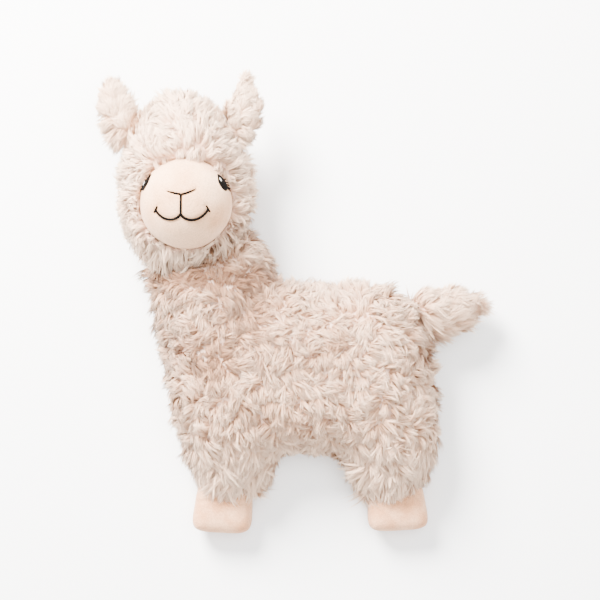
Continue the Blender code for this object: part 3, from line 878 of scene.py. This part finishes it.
def speckled(name, colours, scales, bump, roughness, sheen, gloss=0.25, grain=0.0):
    """A cloth finish: soft patches between two colours, and the fine grain and bump of its pile."""
    made, shader = add_shader(name, roughness, gloss, sheen)
    nodes, links = made.node_tree.nodes, made.node_tree.links
    where = nodes.new("ShaderNodeTexCoord")
    patches, fibres = nodes.new("ShaderNodeTexNoise"), nodes.new("ShaderNodeTexNoise")
    for noise, scale, detail in ((patches, scales[0], 6.0), (fibres, scales[1], 3.0)):
        noise.inputs["Scale"].default_value = scale
        noise.inputs["Detail"].default_value = detail
        links.new(where.outputs["Object"], noise.inputs["Vector"])
    patch = ramp(nodes, [(0.38, colours[0]), (0.62, colours[1])])
    speck = ramp(nodes, [(0.35, (1 - grain,) * 3), (0.65, (1.0,) * 3)])
    links.new(patches.outputs[0], patch.inputs[0])
    links.new(fibres.outputs[0], speck.inputs[0])
    colour = multiplied(nodes, links, patch.outputs["Color"], speck.outputs["Color"])
    links.new(colour, shader.inputs["Base Color"])
    raised = nodes.new("ShaderNodeBump")
    raised.inputs["Strength"].default_value = bump
    raised.inputs["Distance"].default_value = BUMP_HEIGHT
    links.new(fibres.outputs[0], raised.inputs["Height"])
    links.new(raised.outputs["Normal"], shader.inputs["Normal"])
    return made


def grid_mesh(name, rows, closed_across):
    """A net of quads over points laid out as rows, its last column joined to its first if closed."""
    down, across = rows.shape[:2]
    r, c = np.meshgrid(np.arange(down - 1), np.arange(across - (not closed_across)), indexing="ij")
    here, below, after = r * across, (r + 1) * across, (c + 1) % across
    faces = np.stack([here + c, here + after, below + after, below + c], -1)
    mesh = bpy.data.meshes.new(name)
    mesh.from_pydata(rows.reshape(-1, 3).tolist(), [], faces.reshape(-1, 4).tolist())
    whole = bmesh.new()
    whole.from_mesh(mesh)
    bmesh.ops.remove_doubles(whole, verts=whole.verts, dist=WELD)
    bmesh.ops.recalc_face_normals(whole, faces=whole.faces)
    whole.to_mesh(mesh)
    whole.free()
    mesh.shade_smooth()
    return mesh


def on_dome(x, y, lift):
    """Points of the muzzle's ball under (x, y) from its middle, raised along the ball's normal."""
    share = 1 - (x / FACE_HALF[0]) ** 2 - (y / FACE_HALF[1]) ** 2
    spot = np.stack([x, y, FACE_HALF[2] * np.sqrt(np.maximum(share, 0.0))], axis=-1)
    return FACE_CENTRE + spot + unit(spot / FACE_HALF**2) * lift


def beside_dome(x, y, turn, lean, lift):
    """Points of the side of the muzzle's ball, raised along its normal.

    The flat (x, y) is turned by the lean and wrapped round the ball at the turn and at EYE_RISE, as
    an angle round of x and an angle up of y in the ball's half sizes.
    """
    yaw = turn + (x * math.cos(lean) - y * math.sin(lean)) / FACE_HALF[0]
    rise = EYE_RISE + (x * math.sin(lean) + y * math.cos(lean)) / FACE_HALF[1]
    ball = np.stack([np.sin(yaw) * np.cos(rise), np.sin(rise), np.cos(yaw) * np.cos(rise)], axis=-1)
    spot = ball * FACE_HALF
    return FACE_CENTRE + spot + unit(spot / FACE_HALF**2) * np.asarray(lift)[..., None]


def sagging(start, end, sag, count=40):
    """A line from start to end that dips by the sag times (4t(1 - t))^0.75 on its way."""
    t = np.linspace(0, 1, count)
    x = start[0] + (end[0] - start[0]) * t
    return np.stack([x, start[1] + (end[1] - start[1]) * t - sag * (4 * t * (1 - t)) ** 0.75], axis=1)


def smile_tick(end, turn):
    """The short straight stitch across the end of the smile, at the angle of its turn."""
    t = np.linspace(-0.5, 0.5, 16)
    x = end[0] + TICK_LENGTH * t * math.cos(turn)
    return np.stack([x, end[1] + TICK_LENGTH * t * math.sin(turn)], axis=1)


def face_dome():
    """The muzzle: a ball with half sizes FACE_HALF over angles d down and a round.

    It is pulled in by STITCH_PULL times exp(-(r / STITCH_REACH)^2), r being the way to the nearest
    stitch of the nose and the smile, and is uneven by FACE_UNEVEN times sin(5a + 2cos(4d)) sin(d)^2.
    """
    downs, rounds = FACE_NET
    down, about = np.meshgrid(
        np.linspace(0, np.pi, downs), np.arange(rounds) / rounds * 2 * np.pi, indexing="ij"
    )
    ball = np.stack([np.sin(down) * np.cos(about), np.sin(down) * np.sin(about), np.cos(down)], -1)
    spots = ball * FACE_HALF
    lines = np.concatenate([line for line, _, _ in FACE_LINES])
    flat = spots[..., :2].reshape(-1, 2)
    near = np.sqrt(((flat[:, None] - lines[None]) ** 2).sum(-1)).min(1).reshape(down.shape)
    pull = STITCH_PULL * np.exp(-((near / STITCH_REACH) ** 2)) * (spots[..., 2] > 0)
    soft = FACE_UNEVEN * np.sin(about * 5 + 2.0 * np.cos(down * 4)) * np.sin(down) ** 2
    spots = spots + ball * (soft - pull)[..., None]
    return grid_mesh("face_plush", FACE_CENTRE + spots, True)


def tube(path, radii, sides=8):
    """A thread's profile, flat by THREAD_FLAT, carried along a path with a radius at each point."""
    ahead = unit(np.gradient(path, axis=0))
    outward = unit((path - FACE_CENTRE) / FACE_HALF**2)
    across = unit(np.cross(ahead, outward))
    above = THREAD_FLAT * np.cross(across, ahead)
    turn = np.arange(sides) / sides * 2 * np.pi
    cos, sin = np.cos(turn)[None, :, None], np.sin(turn)[None, :, None]
    ring = cos * across[:, None] + sin * above[:, None]
    return path[:, None] + ring * radii[:, None, None]


def joined(name, grids):
    """One mesh of several nets of rows, each with its last column joined to its first."""
    whole = bmesh.new()
    for rows in grids:
        part = grid_mesh(name + "_part", rows, True)
        whole.from_mesh(part)
        bpy.data.meshes.remove(part)
    mesh = bpy.data.meshes.new(name)
    whole.to_mesh(mesh)
    whole.free()
    mesh.shade_smooth()
    return mesh


def stitched(line, radius, taper):
    """A row of back stitches along a line of the face.

    Its radius is 0.82 + 0.22 sqrt|sin| of the full one, once a stitch, and runs down to THREAD_END
    over the taper share of its length at its far end.
    """
    steps = np.linalg.norm(np.diff(line, axis=0), axis=1)
    run = np.concatenate([[0], np.cumsum(steps)])
    even = np.linspace(0, run[-1], max(int(run[-1] / STITCH_STEP), 8))
    x, y = np.interp(even, run, line[:, 0]), np.interp(even, run, line[:, 1])
    beat = np.abs(np.sin(np.pi * even / STITCH_LENGTH))
    radii = radius * (0.82 + 0.22 * beat**0.5)
    left = (run[-1] - even) / max(taper * run[-1], 1e-6)
    radii = radii * np.clip(THREAD_END + (1 - THREAD_END) * left, THREAD_END, 1.0)
    radii[0] *= THREAD_TIP
    radii[-1] *= THREAD_TIP
    return tube(on_dome(x, y, radius * 0.55 - STITCH_PULL * 0.6), radii)


def satin_leaf(turn, lean, size, shift, lift, thickness):
    """A leaf of satin stitch on the side of the muzzle, its long axis nearly upright.

    Over u across and w along, each from -1 to 1: across = u sqrt(1 - w^2 / 2), along = w sqrt(1 -
    u^2 / 2), drawn to a point at the top by 1 - LEAF_POINT w^1.6, its back on the plush and its
    front puffed by the square root of (1 - u^4)(1 - w^4), with the threads as ridges across it.
    """
    rows, columns = LEAF_NET
    w, u = np.meshgrid(np.linspace(-1, 1, rows), np.linspace(-1, 1, columns), indexing="ij")
    point = 1 - LEAF_POINT * np.clip(w, 0, 1) ** 1.6
    across = u * np.sqrt(1 - w * w / 2) * point * size[0] / 2 + shift[0]
    along = w * np.sqrt(1 - u * u / 2) * size[1] / 2 + shift[1]
    puff = np.sqrt(np.maximum((1 - u**4) * (1 - w**4), 0))
    ridge = RIDGE_HEIGHT * np.sin(2 * np.pi * (along + 0.25 * across) / RIDGE_PITCH)
    front = beside_dome(across, along, turn, lean, lift + puff * (thickness + ridge))
    back = beside_dome(across, along, turn, lean, lift - LEAF_BACK * puff)
    leaf = np.concatenate([front, back[:, ::-1]], axis=1)
    ends = np.repeat(leaf.mean(1, keepdims=True), leaf.shape[1], axis=1)
    return np.concatenate([ends[:1], leaf, ends[-1:]])


def lash(turn, lean, start, end):
    """A single tapered stitch from one place of the eye's own flat to another, its tip raised."""
    t = np.linspace(0, 1, 12)
    across = start[0] + (end[0] - start[0]) * t
    along = start[1] + (end[1] - start[1]) * t
    path = beside_dome(across, along, turn, lean, LASH_LIFT + LASH_RISE * t)
    radii = LASH_RADIUS * (1 - 0.55 * t)
    radii[0] *= LASH_TIP
    radii[-1] *= LASH_TIP
    return tube(path, radii, 6)


def hoof_shell(node, tilt, shift, lean, flare):
    """A two-panel hoof over u and w from -1 to 1 for each panel, sewn round its edge.

    With m the larger of |u| and |w|, the square is drawn in to the outline |x|^n + |y|^n = 1 by m
    over the n-th root of |u|^n + |w|^n, n being the squareness. It is wider by the flare and set over
    by the lean towards the sole. The panels puff out by the square root of 1 - m^4. Small puckers
    fade inwards from the seam, and a crease crosses the front under the leg's pile.
    """
    net = np.linspace(-1, 1, HOOF_NET)
    w, u = np.meshgrid(net, net, indexing="ij")
    n = HOOF_SQUARENESS
    m = np.maximum(np.abs(u), np.abs(w))
    drawn = m / np.maximum((np.abs(u) ** n + np.abs(w) ** n) ** (1 / n), 1e-9)
    across = u * drawn * (1 - flare * w) - lean * w
    along = w * drawn
    puff = np.sqrt(np.maximum(1 - m**4, 0))
    around = np.arctan2(w, u)
    pucker = HOOF_PUCKER * np.sin(31 * around + 2 * np.sin(3 * around)) * np.exp((m - 1) / 0.10)
    crease = HOOF_CREASE * np.exp(-(((w - 0.34 + 0.22 * u * u) / 0.09) ** 2))
    lump = HOOF_LUMP * np.sin(2.6 * u + 1.0) * np.sin(2.2 * w + 0.5)
    low, high = (np.array(corner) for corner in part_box(node))
    middle = (low + high) / 2 + (shift, 0, 0)
    cos, sin = math.cos(tilt), math.sin(tilt)
    turn = np.array([[cos, -sin, 0], [sin, cos, 0], [0, 0, 1]])
    whole = bmesh.new()
    for height in (puff * (1 + pucker + lump - crease), -puff * (1 + pucker)):
        flat = np.stack([across, along, height], -1) * HOOF_SIZE / 2
        panel = grid_mesh(node, middle + flat @ turn.T, False)
        whole.from_mesh(panel)
        bpy.data.meshes.remove(panel)
    bmesh.ops.remove_doubles(whole, verts=whole.verts, dist=WELD)
    bmesh.ops.recalc_face_normals(whole, faces=whole.faces)
    mesh = bpy.data.meshes.new(node + "_plush")
    whole.to_mesh(mesh)
    whole.free()
    mesh.shade_smooth()
    return mesh


plush = shaggy_pile()
backing = speckled(
    "plush_backing",
    colours=((0.52, 0.32, 0.23), (0.66, 0.46, 0.36)),
    scales=(60, 900),
    bump=0.5,
    roughness=0.95,
    sheen=0.1,
)
short_pile = speckled(
    "short_pile",
    colours=((0.66, 0.36, 0.19), (0.82, 0.52, 0.32)),
    scales=(30, 800),
    bump=1.0,
    roughness=0.85,
    sheen=0.15,
    grain=0.22,
)
hoof_pile = speckled(
    "hoof_pile",
    colours=((0.58, 0.28, 0.14), (0.72, 0.41, 0.24)),
    scales=(60, 800),
    bump=1.0,
    roughness=0.85,
    sheen=0.15,
    grain=0.22,
)
dark_thread = speckled(
    "dark_thread",
    colours=((0.002, 0.0016, 0.0015), (0.005, 0.004, 0.0035)),
    scales=(300, 1500),
    bump=0.5,
    roughness=0.9,
    sheen=0.0,
    gloss=0.02,
)
white_thread = speckled(
    "white_thread",
    colours=((0.80, 0.78, 0.75), (0.90, 0.89, 0.87)),
    scales=(300, 1500),
    bump=0.4,
    roughness=0.6,
    sheen=0.1,
)

# Each shaggy node's net size, number of strands, neighbours that cover parts of it, and comb.
SHAGGY = {
    "body": (0.006, 99200, ("head", "tail", "hoof_front", "hoof_hind"), body_comb),
    "head": (0.0055, 37600, ("body", "face", "ear_left", "ear_right"), head_comb),
    "ear_left": (0.004, 9600, ("head",), limb_comb(**LIMBS["ear_left"])),
    "ear_right": (0.004, 9600, ("head",), limb_comb(**LIMBS["ear_right"])),
    "tail": (0.004, 11200, ("body",), limb_comb(**LIMBS["tail"])),
}
BODY_PARTS = ("neck_pile", "shoulder_pile", "rump_pile", "front_leg_pile", "hind_leg_pile")
HEAD_PARTS = ("ruff_pile", "crown_pile")


def pile_parts(node, roots):
    """The names of a node's stretches of pile, and the number of the stretch each root is on."""
    x, y, _ = (roots - ZERO).T
    if node == "body":
        upper = np.where(y > NECK_FOOT, 0, np.where(x < BARREL_MIDDLE, 1, 2))
        return BODY_PARTS, np.where(y < HOCK_HEIGHT, np.where(x < LEG_SPLIT, 3, 4), upper)
    if node == "head":
        return HEAD_PARTS, (roots[:, 1] > FACE_CENTRE[1] + CROWN_ABOVE_FACE).astype(int)
    return (node + "_pile",), np.zeros(len(roots), int)


for number, (node, (net, count, others, comb)) in enumerate(SHAGGY.items()):
    rng = np.random.default_rng(SEED + number)
    cloth = stuffed_cloth(node, net)
    skin = piece(node + "_cloth", cloth, backing, [node])
    wisps, facing = sown(cloth, count // PER_WISP, others, rng)
    points, up, side, shade, tint, tones, roots = strand_points(wisps, facing, comb, rng)
    names, where = pile_parts(node, roots)
    for k, name in enumerate(names):
        own = where == k
        strands = (grown[own] for grown in (points, up, side, shade, tint, tones))
        piece(name, pile_mesh(name, *strands, rng), plush)

# Each line of the nose and the smile, its thread's radius and how much of it tapers.
FACE_LINES = (
    (sagging(NOSE_FORK, LIP_MIDDLE, 0.0), 0.00092, 0.0),
    (sagging(NOSE_FORK, NOSE_LEFT_END, 0.0003), 0.00085, 0.5),
    (sagging(NOSE_FORK, NOSE_RIGHT_END, 0.0007), 0.00085, 0.5),
    (sagging(LIP_MIDDLE, MOUTH_LEFT_END, 0.0063), 0.00110, 0.0),
    (sagging(LIP_MIDDLE, MOUTH_RIGHT_END, 0.0069), 0.00118, 0.0),
    (smile_tick(MOUTH_LEFT_END, TICK_TURN), 0.00080, 0.0),
    (smile_tick(MOUTH_RIGHT_END, -TICK_TURN), 0.00080, 0.0),
)
face = piece("face_plush", face_dome(), short_pile, ["face"])
smile = joined("nose_and_smile", [stitched(*line) for line in FACE_LINES])
piece("nose_and_smile", smile, dark_thread, ["nose_and_mouth"])

for side, (turn, lean, width) in EYES.items():
    sign = 1 if side == "right" else -1
    leaf = satin_leaf(turn, lean, (width, EYE_LENGTH), (0.0, 0.0), EYE_LIFT, EYE_PUFF)
    lashes = [
        lash(turn, lean, (sign * (width / 2 - LASH_ROOT), y), (sign * (width / 2 + out), y - fall))
        for y, out, fall in LASHES
    ]
    eye = joined(f"eye_{side}_satin", [leaf, *lashes])
    piece(f"eye_{side}_satin", eye, dark_thread, [f"eye_{side}"])
    size = (GLINT_WIDTH, GLINT_LENGTH)
    spot = satin_leaf(turn, lean, size, GLINT_SHIFTS[side], GLINT_LIFT, GLINT_PUFF)
    glint = joined(f"glint_{side}_satin", [spot])
    piece(f"glint_{side}_satin", glint, white_thread, [f"glint_{side}"])

for node, measures in HOOVES.items():
    hoof = piece(node + "_plush", hoof_shell(node, *measures), hoof_pile, [node])

corners = [[[x, y, 0.0] for x in (-3, 3)] for y in (-3, 3)]
floor = linked("floor", grid_mesh("floor", np.array(corners), False))
floor_finish = speckled(
    "pale_floor",
    colours=((0.91, 0.94, 0.97), (0.92, 0.95, 0.98)),
    scales=(2, 200),
    bump=0.0,
    roughness=0.8,
    sheen=0.0,
)
floor.data.materials.append(floor_finish)

world = bpy.data.worlds.new("studio")
world.use_nodes = True
sky = world.node_tree.nodes["Background"]
sky.inputs["Color"].default_value = (*SKY_COLOUR, 1.0)
sky.inputs["Strength"].default_value = SKY_STRENGTH
bpy.context.scene.world = world


def softbox(name, place, size, power, colour):
    """A round area light at a place, aimed at the toy."""
    lamp = bpy.data.lights.new(name, "AREA")
    lamp.shape = "DISK"
    lamp.size = size
    lamp.energy = power
    lamp.color = colour
    made = bpy.data.objects.new(name, lamp)
    made.location = place
    aim = Vector(LIGHT_TARGET) - Vector(place)
    made.rotation_euler = aim.to_track_quat("-Z", "Y").to_euler()
    bpy.context.scene.collection.objects.link(made)


softbox("key_light", (-0.75, 1.20, 1.15), size=0.9, power=380, colour=(1.0, 0.94, 0.88))
softbox("fill_light", (0.3, 0.2, 1.9), size=1.4, power=60, colour=(1.0, 0.97, 0.94))

camera = bpy.data.objects.new("camera", bpy.data.cameras.new("camera"))
camera.data.lens = CAMERA_LENS
camera.data.sensor_width = 36.0
camera.data.clip_start = 0.05
camera.location = ZERO + CAMERA_PLACE
bpy.context.scene.collection.objects.link(camera)
bpy.context.scene.camera = camera
